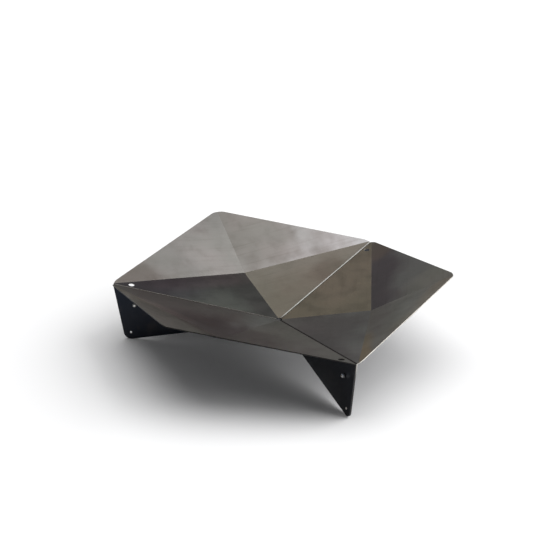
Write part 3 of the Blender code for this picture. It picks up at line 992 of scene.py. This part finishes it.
# %% Nut and washer
NUT_HEIGHT = 0.005
NUT_BORE = 0.0061
COUNTERSINK = 0.0004
WASHER_DIAMETER = 0.012
WASHER_BORE = 0.0066
WASHER_THICKNESS = 0.0016


def nut_mesh():
    """Starts at Z 0 and hangs below it."""
    bore, face = NUT_BORE / 2, HEX_ACROSS_FLATS / 2 * HEX_FACE_SHARE
    rings = [
        round_ring(bore, -NUT_HEIGHT + COUNTERSINK),
        round_ring(bore + COUNTERSINK, -NUT_HEIGHT),
        round_ring(face, -NUT_HEIGHT),
        shoulder_ring(-NUT_HEIGHT, -1),
        shoulder_ring(0, 1),
        round_ring(face, 0),
        round_ring(bore + COUNTERSINK, 0),
        round_ring(bore, -COUNTERSINK),
    ]
    return turned_mesh("hex_nut", rings, is_loop=True)


def washer_mesh():
    """Starts at Z 0 and hangs below it."""
    inside, outside = WASHER_BORE / 2, WASHER_DIAMETER / 2
    rings = [
        round_ring(inside, -WASHER_THICKNESS),
        round_ring(outside - FINE_ROUND, -WASHER_THICKNESS),
        round_ring(outside, -WASHER_THICKNESS + FINE_ROUND),
        round_ring(outside, -2 * FINE_ROUND),
        round_ring(outside - FINE_ROUND / 2, -FINE_ROUND / 2),
        round_ring(outside - 2 * FINE_ROUND, 0),
        round_ring(inside + FINE_ROUND, 0),
        round_ring(inside, -FINE_ROUND),
    ]
    return turned_mesh("plain_washer", rings, is_loop=True)


meshes = {"bolt": bolt_mesh(), "nut": nut_mesh(), "washer": washer_mesh()}
print("fastener faces:", {name: len(mesh.polygons) for name, mesh in meshes.items()})

# %% [markdown]
# ## Zinc
# Fasteners are zinc plated. Fresh zinc is pale with a blue and yellow sheen from its passivation,
# and it dulls to grey in patches. One finish serves all of them, with a seed and two tones of its
# own for bolts, nuts and washers, and with the radius at which a sooty dark ring begins, which is
# partly painted shade on the sides of a bolt head. The nut's tones are set light as painted light,
# for a nut that sits in the leg's shade.

# %% Zinc plating
SHEEN = (tone(0.90, 1.0, 1.14), tone(1.02, 1.0, 0.94))
SOOT_AND_SHADE_TONE = tone(0.03, 0.03, 0.03)
SOOT_AND_SHADE_FADE = 0.0012
SOOT_AND_SHADE_SHARE = 0.85
ZINC_WEAR_WIDTH = 0.0003
ZINC_WORN = 1.4
ZINC_RELIEF = 0.00001


def grey(level):
    return tone(level, level, level)


def zinc(name, seed, bright, dull, clear_radius):
    """The plating is clean up to a radius around the axis, and beyond it darkened, partly as sooting
    and partly as painted shade.
    """
    plate = Recipe(name, seed)
    clouds = plate.noise(160, detail=4)
    sheen = plate.noise(90, detail=2)
    grain = plate.noise(2500, detail=2)
    colour = plate.mix(plate.ease(sheen, 0.35, 0.65), *SHEEN)
    colour = plate.mix(1, colour, grey(bright), "MULTIPLY")
    colour = plate.mix(plate.ease(clouds, 0.45, 0.7), colour, grey(dull))
    worn = plate.maths("MULTIPLY", plate.worn_edge(ZINC_WEAR_WIDTH), 0.5)
    colour = plate.mix(worn, colour, grey(ZINC_WORN * bright))
    inputs = {0: plate.place, 1: (1, 1, 0)}
    across = plate.add("ShaderNodeVectorMath", inputs, operation="MULTIPLY").outputs[0]
    radius = plate.add("ShaderNodeVectorMath", {0: across}, operation="LENGTH").outputs["Value"]
    # A sooty ring that is partly painted shade, on the sides of a bolt head.
    soot_and_shade = plate.ease(radius, clear_radius, clear_radius + SOOT_AND_SHADE_FADE, 0, SOOT_AND_SHADE_SHARE)
    colour = plate.mix(soot_and_shade, colour, SOOT_AND_SHADE_TONE)
    roughness = plate.ease(clouds, 0.3, 0.7, 0.26, 0.38)
    return plate.finish(colour, roughness, plate.maths("ADD", clouds, grain), ZINC_RELIEF)


# The nut is set lighter than the bolt as painted light, for a nut in the leg's shade.
PLATING_AND_PAINTED_LIGHT = {"bolt": (0.64, 0.30, 0.0022), "nut": (0.86, 0.66, 0.0062), "washer": (0.07, 0.04, 0.005)}
for number, (name, look) in enumerate(PLATING_AND_PAINTED_LIGHT.items()):
    meshes[name].materials.append(zinc("zinc_plated_" + name, 61 + 5 * number, *look))

# %% [markdown]
# ## Bolt the legs together
# Each leg has an outer and an inner bolt. From the bolt head to the nut the pieces are stacked
# across the two plates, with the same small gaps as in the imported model, so none cuts another.

# %% Place the fasteners
LEGS = {"rear_leg": 60, "left_leg": 180, "front_leg": 300}
plates = GAP / 2 + SHEET_THICKNESS
clamp = plates + GAP + WASHER_THICKNESS + GAP
STACK = {
    "bolt": ("bolt", clamp),
    "head_washer": ("washer", clamp - GAP),
    "nut_washer": ("washer", -plates - GAP),
    "nut": ("nut", -clamp),
}
ON_SIDE = Matrix.Rotation(-math.pi / 2, 4, "X")

for leg, turn in LEGS.items():
    for seat, place in BOLT_PLACES.items():
        for part, (kind, off) in STACK.items():
            node = f"{leg}_{seat}_{part}"
            piece = add_piece("zinc_" + node, meshes[kind])
            move = Matrix.Translation((place.x, off, place.y))
            piece.matrix_world = Matrix.Rotation(math.radians(turn), 4, "Z") @ move @ ON_SIDE
            dress(piece, node)
print("fasteners placed:", len(LEGS) * len(BOLT_PLACES) * len(STACK))
